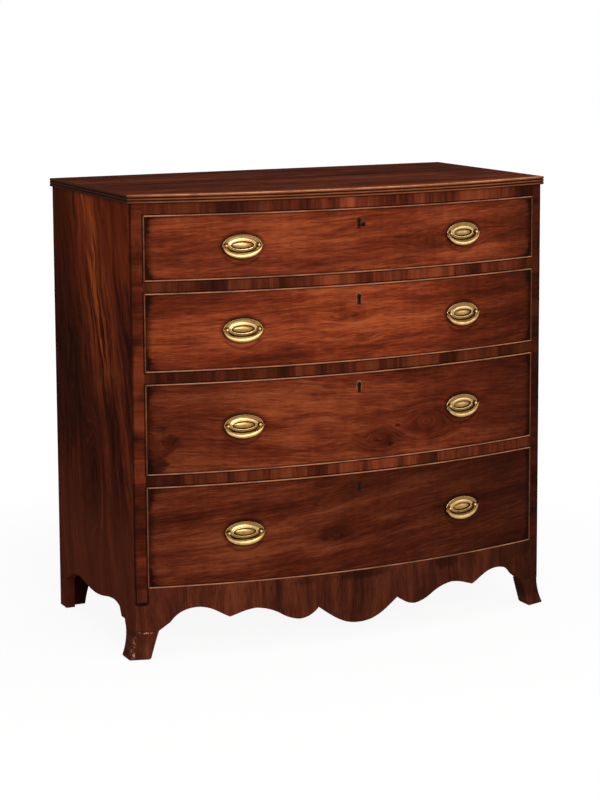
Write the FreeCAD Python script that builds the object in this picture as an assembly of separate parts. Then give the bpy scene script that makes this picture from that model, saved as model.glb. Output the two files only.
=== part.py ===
# Bow-front chest of four graduated long drawers on splayed bracket feet.
# Millimetres. X runs along the width, +Y to the back, +Z up. The origin is on the floor,
# under the middle of the whole chest. Left is -X, as seen by someone facing the drawers.
import FreeCAD
import Part
import math
import os

V = FreeCAD.Vector

# ---- Carcase ----
overall_height = 960.0
case_width = 960.0
side_depth = 470.0          # flat side, from the front corner to the back
bow_rise = 69.4             # how far the front swells forward of its corners
side_thickness = 20.0
stile_width = 24.0          # cross-banded facing over each side's front edge
facing_thickness = 4.0
rail_height = 22.5
rail_depth = 60.0           # behind the front corner
joint_depth = 7.0           # housings, grooves and tongues
plinth_height = 149.4       # floor to the bottom drawer's opening
drawer_shares = [0.1936, 0.2326, 0.2701, 0.3037]   # of the drawers' height together, top drawer first

# ---- Top ----
top_thickness = 18.0
top_overhang = 6.0
reed_count = 3
reed_bevel = 1.9            # flats that shape each reed
level = 0.1                 # an edge that rises less than this is level

# ---- Inside the carcase ----
back_thickness = 10.0
back_board_count = 5
board_gap = 1.0
runner_width = 22.0
dustboard_thickness = 8.0
bottom_thickness = 18.0
guide_height = 14.0
stop_height = 5.0
stop_width = 30.0
stop_length = 32.0
stop_spacing = 300.0

# ---- Apron and feet ----
apron_thickness = 20.0
foot_height = 60.0
foot_width = 47.0           # front face of a front foot at its top
foot_floor_width = 28.0     # the same at the floor, before the splay
foot_depth = 60.0           # side face of a front foot at its top
foot_floor_depth = 43.0
foot_board_depth = 27.0     # its front board at the top, from the corner back
foot_board_floor_depth = 31.0
side_splay = 16.0           # outward kick at the floor
front_splay = 5.0
splay_sweep = 25.0          # degrees of bow that a splayed face is turned through, past the corner
rear_foot_depth = 39.0
rear_foot_height = 66.0
rear_bracket_thickness = 22.0
rear_bracket_floor = 50.0   # width on the floor, from the chest's side
rear_bracket_top = 105.0
side_step_height = 72.0     # ledge between the side's arch and the front foot
side_step_width = 19.0
glue_block_size = 26.0
glue_block_count = 4
corner_block_width = 15.0

# The lower edge of a side between its feet: share of the span, height above the floor.
side_arch = [(0.10, 84.0), (0.22, 95.6), (0.39, 89.0), (0.55, 83.7), (0.72, 90.5), (0.87, 97.6), (0.97, 90.6)]

# The apron's lower edge on the right half: distance from the middle, height above the floor.
# Each run is one smooth curve and runs meet at a point.
lobe_run = [(0.0, 37.4), (31.0, 41.7), (69.0, 62.5), (94.0, 81.3)]
wave_run = [(94.0, 81.3), (105.0, 71.0), (137.0, 60.0), (178.0, 75.0), (232.0, 93.0), (271.0, 84.5),
            (288.0, 79.0)]
crest_run = [(288.0, 79.0), (303.0, 86.5), (322.0, 97.0), (350.0, 104.6), (375.0, 102.0), (393.0, 94.0),
             (404.0, 84.5), (410.0, 77.0)]
apron_half_span = 433.0     # the runs above are drawn for this distance to the foot

# ---- Drawers ----
front_thickness = 22.0
lining_thickness = 10.0
drawer_bottom_thickness = 7.0
bottom_lift = 9.0           # underside of the bottom above the side's lower edge
groove_depth = 5.0
muntin_width = 50.0
muntin_cover = 4.0
gap_above = 1.0
gap_below = 0.4
gap_side = 0.8
run_gap = 0.3
lining_drop = 5.0           # drawer side below the opening's top
back_drop = 8.0             # drawer back below the drawer side's top
rear_gap = 12.0
bead_thickness = 3.2
bead_depth = 8.0
bead_proud = 2.0
dovetail_root = 1.0         # run of a tail into the side it grows from
dovetail_lap = 9.0
dovetail_pitch = 56.0
dovetail_pin = 5.0
dovetail_slope = 0.2

# ---- Locks ----
lock_width = 64.0
lock_height = 44.0
lock_thickness = 9.0
bolt_width = 26.0
bolt_thickness = 6.0
bolt_travel = 9.0
bolt_cover = 1.0            # metal of the case behind the bolt
bolt_clearance = 0.5
keyhole_drop = 26.0
keyhole_radius = 2.6
keyhole_slot = 3.0
keyhole_length = 13.0
escutcheon_radius = 5.5
escutcheon_foot = 4.0       # half the width of its lower end
escutcheon_length = 17.0
keyhole_facets = 6
escutcheon_depth = 3.0
escutcheon_proud = 0.4

# ---- Brass handles ----
handle_spread = 512.0       # between the two handles' middles
handle_rise = 1.2           # handles above the middle of the drawer's front
plate_width = 83.5
plate_height = 44.0
plate_thickness = 1.2
plate_rim = 2.6
ring_width = 62.0
ring_height = 32.0
ring_proud = 3.4
ring_slope = 5.0            # run of the swell to the ring's flat middle
rim_slope = 2.0             # run of each raised edge
plate_seat = 0.1            # flat plate against the swelling front
plate_facets = 12
post_spacing = 68.0
post_radius = 2.6
post_ball = 3.4             # half the head's width
post_tip = 1.7
post_shoulder = 2.3         # half the depth of the head's straight part
post_facets = 6
shank_radius = 2.5          # to the corners of the square shank
shank_facets = 4
shank_clearance = 0.15
nut_size = 9.0
nut_thickness = 3.5
pivot_out = 6.6             # pivot of the bail in front of the drawer's face
pin_radius = 1.6
pin_clearance = 0.3
pin_overhang = 2.5          # pin past the plate's edge
bail_reach = 22.1           # pivot down to the middle of the bail's grip
bail_tip = 1.5
bail_grip_half = 5.0
bail_grip_thick = 2.9
bail_gap = 1.3              # bail's arm beside the post's head
pin_facets = 6
bail_facets = 6
bail_spans = 8

# ---- Derived places ----
half_width = case_width / 2
overall_depth = side_depth + bow_rise + top_overhang
back_y = overall_depth / 2
corner_y = back_y - side_depth
bow_radius = (half_width ** 2 + bow_rise ** 2) / (2 * bow_rise)
bow_centre_y = corner_y - bow_rise + bow_radius
case_top = overall_height - top_thickness
drawers_height = case_top - plinth_height - len(drawer_shares) * rail_height
drawer_openings = [share * drawers_height for share in drawer_shares]
opening_half = half_width - stile_width
side_inner = half_width - side_thickness
facing_back_y = corner_y + facing_thickness
rail_back_y = corner_y + rail_depth
inner_back_y = back_y - back_thickness
drawer_half = opening_half - gap_side
drawer_rear_y = inner_back_y - rear_gap
groove_inset = front_thickness - groove_depth
runner_inner = opening_half - runner_width
floor_board_z = plinth_height - bottom_thickness
foot_inner = half_width - foot_width


def bow_y(x, inset=0.0):
    # Front surface of the chest at x, or a surface that lies inset behind it.
    return bow_centre_y - math.sqrt((bow_radius - inset) ** 2 - x ** 2)


def box(x0, x1, y0, y1, z0, z1):
    return Part.makeBox(x1 - x0, y1 - y0, z1 - z0, V(x0, y0, z0))


def prism(edges, along):
    return Part.Face(Part.Wire(edges)).extrude(along)


def polygon(points, along):
    return Part.Face(Part.makePolygon(points + points[:1])).extrude(along)


def arc_points(x0, x1, inset, z):
    return [V(x, bow_y(x, inset), z) for x in (x0, (x0 + x1) / 2, x1)]


def bow_slab(x0, x1, z0, z1, front=0.0, back=None, back_plane=None):
    # A flat-topped piece with a bowed front. Behind it is another bow or a flat plane.
    left, middle, right = arc_points(x0, x1, front, z0)
    edges = [Part.Arc(left, middle, right).toShape()]
    if back is None:
        rear = [V(x1, back_plane, z0), V(x0, back_plane, z0)]
        rear_edge = Part.makeLine(rear[0], rear[1])
    else:
        rear = arc_points(x0, x1, back, z0)[::-1]
        rear_edge = Part.Arc(*rear).toShape()
    edges += [Part.makeLine(right, rear[0]), rear_edge, Part.makeLine(rear[-1], left)]
    return prism(edges, V(0, 0, z1 - z0))


def mirrored(shape):
    return shape.mirror(V(0, 0, 0), V(1, 0, 0))


def both_sides(shape):
    return [mirrored(shape), shape]


def flowing(points):
    # A smooth line through the points, as a chain of arcs.
    curve = Part.BSplineCurve()
    curve.interpolate(points)
    knots = curve.getKnots()
    spans = zip(knots, knots[1:])
    return [Part.Arc(curve.value(a), curve.value((a + b) / 2), curve.value(b)).toShape() for a, b in spans]


def fused(shapes):
    return shapes[0].multiFuse(shapes[1:]).removeSplitter()


def save(name, shapes):
    solids = shapes if isinstance(shapes, list) else [shapes]
    whole = solids[0].Solids[0] if len(solids) == 1 else Part.makeCompound([s.Solids[0] for s in solids])
    whole.exportStep("parts/" + name + ".step")
    print(name, len(whole.Solids), "solid(s)", whole.isValid())


def opening_levels():
    # Floor and ceiling of each drawer's opening, top drawer first.
    levels = []
    ceiling = case_top - rail_height
    for height in drawer_openings:
        levels.append((ceiling - height, ceiling))
        ceiling -= height + rail_height
    return levels


levels = opening_levels()


# ---- Carcase pieces ----

def top_board():
    # Reeds round the front and both ends, made as layers with bevelled rims.
    half = half_width + top_overhang
    pitch = top_thickness / reed_count
    layers = []
    for i in range(reed_count):
        z = case_top + i * pitch
        layer = bow_slab(-half, half, z, z + pitch, front=-top_overhang, back_plane=back_y)
        rim = [e for e in layer.Edges if e.BoundBox.ZLength < level and e.BoundBox.YMin < back_y - reed_bevel]
        layers.append(layer.makeChamfer(min(reed_bevel, 0.45 * pitch), rim))
    return fused(layers)


def side_profile():
    # Right side seen from its outer face, in the plane of the side's inner face.
    def at(from_back, z):
        return V(side_inner, back_y - from_back, z)

    ledge_end = side_depth - ledge_depth(side_step_height)
    arch_end = ledge_end - side_step_width
    span = arch_end - rear_foot_depth
    arch = [at(rear_foot_depth, rear_foot_height)]
    arch += [at(rear_foot_depth + share * span, z) for share, z in side_arch]
    front = side_depth - facing_thickness
    corners = [at(arch_end, side_step_height), at(ledge_end, side_step_height)]
    corners += [at(side_depth - foot_depth, foot_height), at(front, foot_height)]
    corners += [at(front, case_top), at(0, case_top), at(0, 0), at(rear_foot_depth, 0)]
    outline = [arch[-1]] + corners + [arch[0]]
    lines = [Part.makeLine(a, b) for a, b in zip(outline, outline[1:])]
    return flowing(arch) + lines


def ledge_depth(z):
    # Side face of the front foot at height z, carried on above the foot.
    slope = (foot_depth - foot_floor_depth) / foot_height
    return foot_floor_depth + slope * z


def side_panel(rail_tongues):
    panel = prism(side_profile(), V(side_thickness, 0, 0))
    rebate = box(side_inner, side_inner + joint_depth, inner_back_y, back_y, floor_board_z, case_top)
    return panel.cut(rebate).cut(Part.makeCompound(rail_tongues))


def stile():
    return bow_slab(opening_half, half_width, plinth_height, case_top, back_plane=facing_back_y)


def rail_tongue(z0):
    # End of a rail, let into the side behind the stile.
    return box(opening_half, side_inner + joint_depth, facing_back_y, rail_back_y, z0, z0 + rail_height)


def rail(z0, with_groove):
    body = bow_slab(-opening_half, opening_half, z0, z0 + rail_height, back_plane=rail_back_y)
    body = fused([body] + both_sides(rail_tongue(z0)))
    if with_groove:
        body = body.cut(dustboard(z0))
    return body.cut(bolt_pocket(z0))


def bolt_pocket(z0):
    # Pocket under a rail for the lock's bolt below it.
    y = bolt_y()
    half = bolt_width / 2 + bolt_clearance
    return box(-half, half, y - bolt_clearance, y + bolt_thickness + bolt_clearance, z0, z0 + bolt_travel)


def dustboard(z0):
    middle = z0 + rail_height / 2
    half = runner_inner + joint_depth
    low = middle - dustboard_thickness / 2
    return box(-half, half, rail_back_y - joint_depth, inner_back_y, low, low + dustboard_thickness)


def runner(z0):
    # Right-hand runner with its guide, which keeps the drawer clear of the side.
    strip = box(runner_inner, side_inner, rail_back_y, inner_back_y, z0, z0 + rail_height)
    return fused([strip, guide(z0 + rail_height)]).cut(dustboard(z0))


def guide(z0):
    return box(opening_half, side_inner, rail_back_y, inner_back_y, z0, z0 + guide_height)


def drawer_stop(z0):
    # Right-hand block that stops the drawer when its front is flush.
    x0 = stop_spacing / 2 - stop_width / 2
    near = front_thickness + run_gap
    back = bow_y(stop_spacing / 2, near) + stop_length
    return bow_slab(x0, x0 + stop_width, z0, z0 + stop_height, front=near, back_plane=back)


def bottom_board():
    board = bow_slab(-side_inner, side_inner, floor_board_z, plinth_height, front=apron_thickness,
                     back_plane=inner_back_y)
    return board


def back_boards():
    half = side_inner + joint_depth
    width = (2 * half - (back_board_count - 1) * board_gap) / back_board_count
    starts = [-half + i * (width + board_gap) for i in range(back_board_count)]
    return [box(x, x + width, inner_back_y, back_y, floor_board_z, case_top) for x in starts]


def apron_edges():
    # Front elevation of the apron, drawn in the plane Y = 0 and closed along its top.
    stretch = foot_inner / apron_half_span

    def at(x, z):
        return V(x * stretch, 0, z)

    def run(points, sign):
        ordered = points if sign > 0 else points[::-1]
        return flowing([at(sign * x, z) for x, z in ordered])

    lobe = [(-x, z) for x, z in lobe_run[:0:-1]] + lobe_run
    right = run(wave_run, 1) + run(crest_run, 1)
    left = run(crest_run, -1) + run(wave_run, -1)
    heel = at(*crest_run[-1])
    end = [heel, V(foot_inner, 0, foot_height), V(half_width, 0, foot_height),
           V(half_width, 0, plinth_height)]
    outline = end + [V(-p.x, 0, p.z) for p in end[::-1]]
    return left + run(lobe, 1) + right + [Part.makeLine(a, b) for a, b in zip(outline, outline[1:])]


def apron():
    edges = Part.sortEdges(apron_edges())[0]
    elevation = Part.Face(Part.Wire(edges)).extrude(V(0, 2 * bow_rise + 2 * apron_thickness, 0))
    elevation.translate(V(0, corner_y - bow_rise - apron_thickness, 0))
    board = bow_slab(-side_inner, side_inner, 0, plinth_height, front=0, back=apron_thickness)
    lap = bow_slab(side_inner, half_width, 0, plinth_height, back_plane=facing_back_y)
    return fused([board] + both_sides(lap)).common(elevation)


def splay_edge(from_point, to_point):
    # Leaves the foot's top upright and kicks outward towards the floor, as one arc.
    kick = V(to_point.x - from_point.x, to_point.y - from_point.y, 0)
    drop = from_point.z - to_point.z
    radius = (kick.Length ** 2 + drop ** 2) / (2 * kick.Length)
    half_turn = math.asin(drop / radius) / 2
    middle = from_point + kick.normalize() * (radius * (1 - math.cos(half_turn)))
    middle.z -= radius * math.sin(half_turn)
    return Part.Arc(from_point, middle, to_point).toShape()


def front_foot():
    # Right front foot, a deep side board and a shallower front board: the overlap of its front view,
    # the boards seen from the side, and a turned front face.
    y0 = corner_y - 2 * bow_rise
    top_in, top_out = V(foot_inner, y0, foot_height), V(half_width, y0, foot_height)
    low_in, low_out = V(half_width - foot_floor_width, y0, 0), V(half_width + side_splay, y0, 0)
    front_view = prism([Part.makeLine(low_out, low_in), Part.makeLine(low_in, top_in),
                        Part.makeLine(top_in, top_out), splay_edge(top_out, low_out)],
                       V(0, side_depth, 0))

    def side_view(x, top_depth, floor_depth):
        return polygon([V(x, y0, 0), V(x, corner_y + floor_depth, 0),
                        V(x, corner_y + top_depth, foot_height), V(x, y0, foot_height)],
                       V(case_width, 0, 0))

    boards = fused([side_view(0, foot_board_depth, foot_board_floor_depth),
                    side_view(side_inner, foot_depth, foot_floor_depth)])
    face_y = bow_centre_y - bow_radius
    inner_y = face_y + 3 * foot_depth
    top_face, low_face = V(0, face_y, foot_height), V(0, face_y - front_splay, 0)
    turned = Part.Face(Part.Wire([splay_edge(top_face, low_face),
                                  Part.makeLine(low_face, V(0, inner_y, 0)),
                                  Part.makeLine(V(0, inner_y, 0), V(0, inner_y, foot_height)),
                                  Part.makeLine(V(0, inner_y, foot_height), top_face)]))
    turned = turned.revolve(V(0, bow_centre_y, 0), V(0, 0, 1), splay_sweep)
    return front_view.common(boards).common(turned)


def rear_bracket():
    # Right rear foot's bracket across the back, behind the side's own rear leg.
    inner_floor = half_width - rear_bracket_floor
    inner_top = half_width - rear_bracket_top
    y0 = back_y - rear_bracket_thickness
    corners = [V(inner_top, y0, floor_board_z), V(side_inner, y0, floor_board_z),
               V(side_inner, y0, 0), V(inner_floor, y0, 0)]
    sweep = Part.Arc(corners[3], V((inner_floor * 2 + inner_top) / 3, y0, floor_board_z / 2), corners[0])
    edges = [Part.makeLine(a, b) for a, b in zip(corners, corners[1:])] + [sweep.toShape()]
    return prism(edges, V(0, rear_bracket_thickness, 0))


def corner_block():
    # Right front glue block, standing on the foot inside the corner.
    return bow_slab(side_inner - corner_block_width, side_inner, foot_height, floor_board_z,
                    front=apron_thickness, back_plane=corner_y + foot_depth)


def glue_blocks():
    # Rubbed blocks under the bottom board: along each side, and one in each front corner.
    first = corner_y + foot_depth + glue_block_size
    last = back_y - rear_bracket_thickness - 2 * glue_block_size
    pitch = (last - first) / (glue_block_count - 1)
    blocks = both_sides(corner_block())
    for i in range(glue_block_count):
        y = first + i * pitch
        triangle = [V(side_inner, y, floor_board_z), V(side_inner - glue_block_size, y, floor_board_z),
                    V(side_inner, y, floor_board_z - glue_block_size)]
        blocks += both_sides(polygon(triangle, V(0, glue_block_size, 0)))
    return blocks


# ---- Drawer pieces ----

def tails(y_wide, y_narrow, z0, z1):
    # Dovetails on the end of a right-hand drawer side, as wedges through its thickness.
    count = max(2, round((z1 - z0) / dovetail_pitch))
    pitch = (z1 - z0) / count
    wide = (pitch - dovetail_pin) / 2
    narrow = wide - dovetail_slope * abs(y_narrow - y_wide)
    x = drawer_half - lining_thickness
    wedges = []
    for i in range(count):
        z = z0 + (i + 0.5) * pitch
        wedge = [V(x, y_wide, z - wide), V(x, y_narrow, z - narrow), V(x, y_narrow, z + narrow),
                 V(x, y_wide, z + wide)]
        wedges.append(polygon(wedge, V(lining_thickness, 0, 0)))
    return wedges


def drawer_front_blank(floor, ceiling):
    # Solid front, hollowed to the bow behind, with rebated ends for the upright cock beads.
    low, high = floor + gap_below + bead_thickness, ceiling - gap_above - bead_thickness
    blank = bow_slab(-drawer_half, drawer_half, low, high, front=0, back=front_thickness)
    return blank.cut(Part.makeCompound(both_sides(side_bead(low, high))))


def side_bead(low, high):
    core = drawer_half - bead_thickness
    return bow_slab(core, drawer_half, low, high, front=-bead_proud, back=bead_depth)


def cock_beads(floor, ceiling):
    # Four strips round the front, standing proud of it: full depth above and below, rebated at the ends.
    strips = []
    for low in (floor + gap_below, ceiling - gap_above - bead_thickness):
        strips.append(bow_slab(-drawer_half, drawer_half, low, low + bead_thickness, front=-bead_proud,
                               back=front_thickness))
    slot_y = bolt_y()
    half = bolt_width / 2 + bolt_clearance
    slot = box(-half, half, slot_y - bolt_clearance, slot_y + bolt_thickness + bolt_clearance, floor, ceiling)
    upright = side_bead(floor + gap_below + bead_thickness, ceiling - gap_above - bead_thickness)
    return [strips[0], strips[1].cut(slot)] + both_sides(upright)


def bolt_y():
    # Front of the lock's bolt, which runs a little inside the front's rear face.
    return bow_y(0, front_thickness) - bolt_thickness - bolt_cover


def drawer_bottom(floor):
    # Two panels with their edges in the grooves, and the grooved muntin between them.
    low = floor + run_gap + bottom_lift
    high = low + drawer_bottom_thickness
    inner = muntin_width / 2 - groove_depth
    outer = drawer_half - lining_thickness + groove_depth
    panel = bow_slab(inner, outer, low, high, front=groove_inset, back_plane=drawer_rear_y)
    muntin = bow_slab(-muntin_width / 2, muntin_width / 2, low - muntin_cover, high + muntin_cover,
                      front=front_thickness, back_plane=drawer_rear_y - lining_thickness)
    panels = both_sides(panel)
    return panels + [muntin.cut(Part.makeCompound(panels))]


def drawer_side(floor, ceiling, back_slab, front_tails, rear_tails, panels):
    # Right-hand side: it stops behind the front and beside the back, but for its dovetails.
    x0 = drawer_half - lining_thickness
    front_space = bow_slab(x0, drawer_half, floor, ceiling, front=0, back=front_thickness)
    board = box(x0, drawer_half, bow_y(x0), drawer_rear_y, floor + run_gap, ceiling - lining_drop)
    board = board.cut(front_space).cut(back_slab)
    board = max(board.Solids, key=lambda s: s.Volume)
    return fused([board] + front_tails + rear_tails).cut(Part.makeCompound(panels))


def key_outline(z, y, head, foot, length):
    # Outline of a keyhole: a faceted round head with straight-sided foot below it.
    drop = -math.sqrt(max(head ** 2 - foot ** 2, 0))
    start = math.atan2(drop, foot)
    points = [V(foot, y, z - length)]
    for k in range(keyhole_facets + 1):
        turn = start + (math.pi - 2 * start) * k / keyhole_facets
        points.append(V(head * math.cos(turn), y, z + head * math.sin(turn)))
    return points + [V(-foot, y, z - length)]


def key_prism(z, y0, y1, head, foot, length):
    return polygon(key_outline(z, y0, head, foot, length), V(0, y1 - y0, 0))


def lock_pieces(ceiling):
    # Lock case let into the back of the front, its bolt drawn back, and the escutcheon outside.
    top = ceiling - gap_above - bead_thickness
    z = ceiling - gap_above - keyhole_drop
    back = bow_y(0, front_thickness)
    face = bow_y(0)
    low = top - lock_height
    case = box(-lock_width / 2, lock_width / 2, back - lock_thickness, back, low, top)
    recess = box(-lock_width / 2, lock_width / 2, back - lock_thickness, back + lock_thickness, low, top)
    bolt = box(-bolt_width / 2, bolt_width / 2, bolt_y(), bolt_y() + bolt_thickness,
               top - 2 * bolt_travel, top)
    plate = key_prism(z, face - escutcheon_proud, face + escutcheon_depth, escutcheon_radius,
                      escutcheon_foot, escutcheon_length)
    hole = key_prism(z, face - 2 * bead_proud, bolt_y() - bolt_cover, keyhole_radius, keyhole_slot / 2,
                     keyhole_length)
    return case, recess, bolt, plate, hole


def drawer(number, floor, ceiling):
    name = "drawer_%d_" % number
    blank = drawer_front_blank(floor, ceiling)
    bottoms = drawer_bottom(floor)
    panels = bottoms[:2]
    panel_top = floor + run_gap + bottom_lift + drawer_bottom_thickness
    side_high = ceiling - lining_drop
    back_top = side_high - back_drop
    back_slab = box(-drawer_half, drawer_half, drawer_rear_y - lining_thickness, drawer_rear_y,
                    panel_top, back_top)
    lap_y = bow_y(drawer_half, dovetail_lap)
    front_low = floor + gap_below + bead_thickness
    front_tails = tails(lap_y, bow_y(drawer_half, front_thickness) + dovetail_root, front_low, side_high)
    rear_tails = tails(drawer_rear_y, drawer_rear_y - lining_thickness - dovetail_root, panel_top, back_top)
    side = drawer_side(floor, ceiling, back_slab, front_tails, rear_tails, panels)
    all_front_tails = Part.makeCompound(sum([both_sides(t) for t in front_tails], []))
    all_rear_tails = Part.makeCompound(sum([both_sides(t) for t in rear_tails], []))
    case, recess, bolt, plate, hole = lock_pieces(ceiling)
    middle = (floor + gap_below + ceiling - gap_above) / 2 + handle_rise
    front = blank.cut(all_front_tails).cut(Part.makeCompound(panels)).cut(recess).cut(plate).cut(hole)
    posts = []
    for sign, side_name in ((-1, "left"), (1, "right")):
        place = handle_place(sign, middle)
        front = front.cut(placed(shank_holes(), place))
        posts += [placed(post(s), place) for s in (-1, 1)]
        save(name + side_name + "_bail", placed(bail(), place))
    save(name + "front", front)
    save(name + "cock_beads", cock_beads(floor, ceiling))
    save(name + "left_side", mirrored(side))
    save(name + "right_side", side)
    save(name + "back", back_slab.cut(all_rear_tails))
    save(name + "bottom", bottoms)
    save(name + "lock", [case.cut(bolt).cut(hole), bolt, plate.cut(hole)])
    save(name + "handle_plates", [placed(handle_plate(), handle_place(s, middle)) for s in (-1, 1)])
    save(name + "handle_posts", posts)


# ---- Handle pieces, drawn at the origin with the drawer's face at Y = 0 and outward -Y ----

def handle_place(sign, z):
    x = sign * handle_spread / 2
    turn = math.degrees(math.asin(x / bow_radius))
    return FreeCAD.Placement(V(x, bow_y(x), z), FreeCAD.Rotation(V(0, 0, 1), turn))


def placed(shape, place):
    moved = shape.copy()
    moved.Placement = place.multiply(moved.Placement)
    return moved


def ring(half_width, half_height, y, sides, x=0.0):
    # Flat oval of straight facets, facing along Y.
    points = []
    for k in range(sides):
        turn = 2 * math.pi * (k + 0.5) / sides
        points.append(V(x + half_width * math.cos(turn), y, half_height * math.sin(turn)))
    return points


def cast(rings):
    # Cast brass body through a row of rings of points, with flat facets from each to the next.
    def facet(points):
        return Part.Face(Part.makePolygon(points + points[:1]))

    faces = [facet(rings[0]), facet(rings[-1])]
    for here, there in zip(rings, rings[1:]):
        for k in range(len(here)):
            a, b, c, d = here[k - 1], here[k], there[k], there[k - 1]
            faces += [facet([a, b, c]), facet([a, c, d])]
    return Part.makeSolid(Part.makeShell(faces)).removeSplitter()


def handle_plate():
    # Oval dish with a raised rim and a raised oval in the middle.
    half, tall = plate_width / 2, plate_height / 2
    ring_half, ring_tall = ring_width / 2, ring_height / 2
    field = plate_seat + plate_thickness
    steps = [(half, tall, plate_seat), (half - rim_slope, tall - rim_slope, plate_rim),
             (half - 2 * rim_slope, tall - 2 * rim_slope, field), (ring_half, ring_tall, field),
             (ring_half - ring_slope, ring_tall - ring_slope, ring_proud)]
    plate = cast([ring(wide, high, -out, plate_facets) for wide, high, out in steps])
    return plate.cut(shank_holes())


def shank(x, radius, y0, y1):
    return cast([ring(radius, radius, y, shank_facets, x) for y in (y0, y1)])


def shank_holes():
    reach = 2 * front_thickness
    radius = shank_radius + shank_clearance
    return Part.makeCompound([shank(s * post_spacing / 2, radius, -plate_rim, reach) for s in (-1, 1)])


def behind_front(across):
    # Depth of the front's hollow rear face at this distance beside the handle's middle.
    return front_thickness + across ** 2 / (2 * (bow_radius - front_thickness))


def post(sign):
    # Post with a pierced head in front, and its shank and square nut behind the drawer front.
    x = sign * post_spacing / 2
    nut_y = behind_front(post_spacing / 2 + nut_size / 2) + plate_seat
    seat = plate_seat + plate_thickness
    steps = [(post_radius, seat), (post_ball, pivot_out - post_shoulder),
             (post_ball, pivot_out + post_shoulder), (post_tip, pivot_out + post_ball)]
    head = cast([ring(radius, radius, -out, post_facets, x) for radius, out in steps])
    rod = shank(x, shank_radius, -seat, nut_y + nut_thickness)
    half = nut_size / 2
    nut = box(x - half, x + half, nut_y, nut_y + nut_thickness, -half, half)
    start = V(x - 2 * post_ball, -pivot_out, 0)
    bearing = Part.makeCylinder(pin_radius + pin_clearance, 4 * post_ball, start, V(1, 0, 0))
    return fused([head, rod, nut]).cut(bearing)


def pin(x0, x1):
    # Pivot pin, filed to flats that turn inside the round hole in the post.
    turns = [2 * math.pi * (k + 0.5) / pin_facets for k in range(pin_facets)]
    edge = [(pin_radius * math.cos(t) - pivot_out, pin_radius * math.sin(t)) for t in turns]
    return polygon([V(min(x0, x1), y, z) for y, z in edge], V(abs(x1 - x0), 0, 0))


def bail_section(angle, arm_x):
    # Oval section of the bail; it swells from a thin tip to a broad grip.
    swell = math.sin(angle)
    centre = V(arm_x * math.cos(angle), -pivot_out, -bail_reach * swell)
    across = V(math.cos(angle) / arm_x, 0, -swell / bail_reach).normalize()
    half = bail_tip + (bail_grip_half - bail_tip) * swell ** 1.5
    thick = bail_tip + (bail_grip_thick - bail_tip) * swell
    points = []
    for k in range(bail_facets):
        turn = 2 * math.pi * (k + 0.5) / bail_facets
        points.append(centre + across * (half * math.cos(turn)) + V(0, thick * math.sin(turn), 0))
    return points


def bail():
    # Crescent grip whose ends carry pins, which turn in the posts' heads.
    arm_x = post_spacing / 2 + post_ball + bail_gap + bail_tip
    grip = cast([bail_section(math.pi * k / bail_spans, arm_x) for k in range(bail_spans + 1)])
    inner = post_spacing / 2 - post_ball + bail_gap
    outer = plate_width / 2 + pin_overhang
    return fused([grip] + [pin(s * inner, s * outer) for s in (-1, 1)])


# ---- Build ----

def carcase():
    rail_floors = [ceiling for floor, ceiling in levels]
    tongues = [rail_tongue(z) for z in rail_floors]
    side = side_panel(tongues)
    save("top_board", top_board())
    save("left_side", mirrored(side))
    save("right_side", side)
    save("stiles", both_sides(stile()))
    save("frieze_rail", rail(rail_floors[0], False))
    save("drawer_rails", [rail(z, True) for z in rail_floors[1:]])
    save("dustboards", [dustboard(z) for z in rail_floors[1:]])
    kickers = both_sides(box(runner_inner, side_inner, rail_back_y, inner_back_y, rail_floors[0], case_top))
    runners = sum([both_sides(runner(z)) for z in rail_floors[1:]], [])
    save("drawer_runners", kickers + runners + both_sides(guide(plinth_height)))
    save("drawer_stops", sum([both_sides(drawer_stop(floor)) for floor, ceiling in levels], []))
    save("bottom_board", bottom_board())
    save("back_boards", back_boards())
    save("apron", apron())
    save("front_feet", both_sides(front_foot()))
    save("rear_foot_brackets", both_sides(rear_bracket()))
    save("glue_blocks", glue_blocks())


os.makedirs("parts", exist_ok=True)
carcase()
for index, (floor, ceiling) in enumerate(levels):
    drawer(index + 1, floor, ceiling)
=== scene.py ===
import math

import bmesh
import bpy
from mathutils import Matrix, Vector


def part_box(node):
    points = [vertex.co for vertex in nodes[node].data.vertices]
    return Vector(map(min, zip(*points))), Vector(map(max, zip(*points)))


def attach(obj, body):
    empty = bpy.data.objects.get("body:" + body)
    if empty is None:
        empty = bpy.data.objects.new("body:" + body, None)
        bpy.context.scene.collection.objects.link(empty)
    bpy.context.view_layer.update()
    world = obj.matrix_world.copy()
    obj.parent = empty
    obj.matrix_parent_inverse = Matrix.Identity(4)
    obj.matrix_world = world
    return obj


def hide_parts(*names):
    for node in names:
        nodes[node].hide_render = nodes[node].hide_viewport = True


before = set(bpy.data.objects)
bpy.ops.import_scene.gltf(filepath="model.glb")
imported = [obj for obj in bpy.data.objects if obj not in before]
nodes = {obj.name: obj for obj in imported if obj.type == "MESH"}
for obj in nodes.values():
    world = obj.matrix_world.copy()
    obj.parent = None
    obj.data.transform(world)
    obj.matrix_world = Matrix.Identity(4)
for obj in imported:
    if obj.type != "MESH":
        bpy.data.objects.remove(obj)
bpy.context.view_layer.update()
mm = 0.001
print("frame loaded:", len(nodes), "nodes")


# Shader sums: an operator on a value adds a Math node

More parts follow.
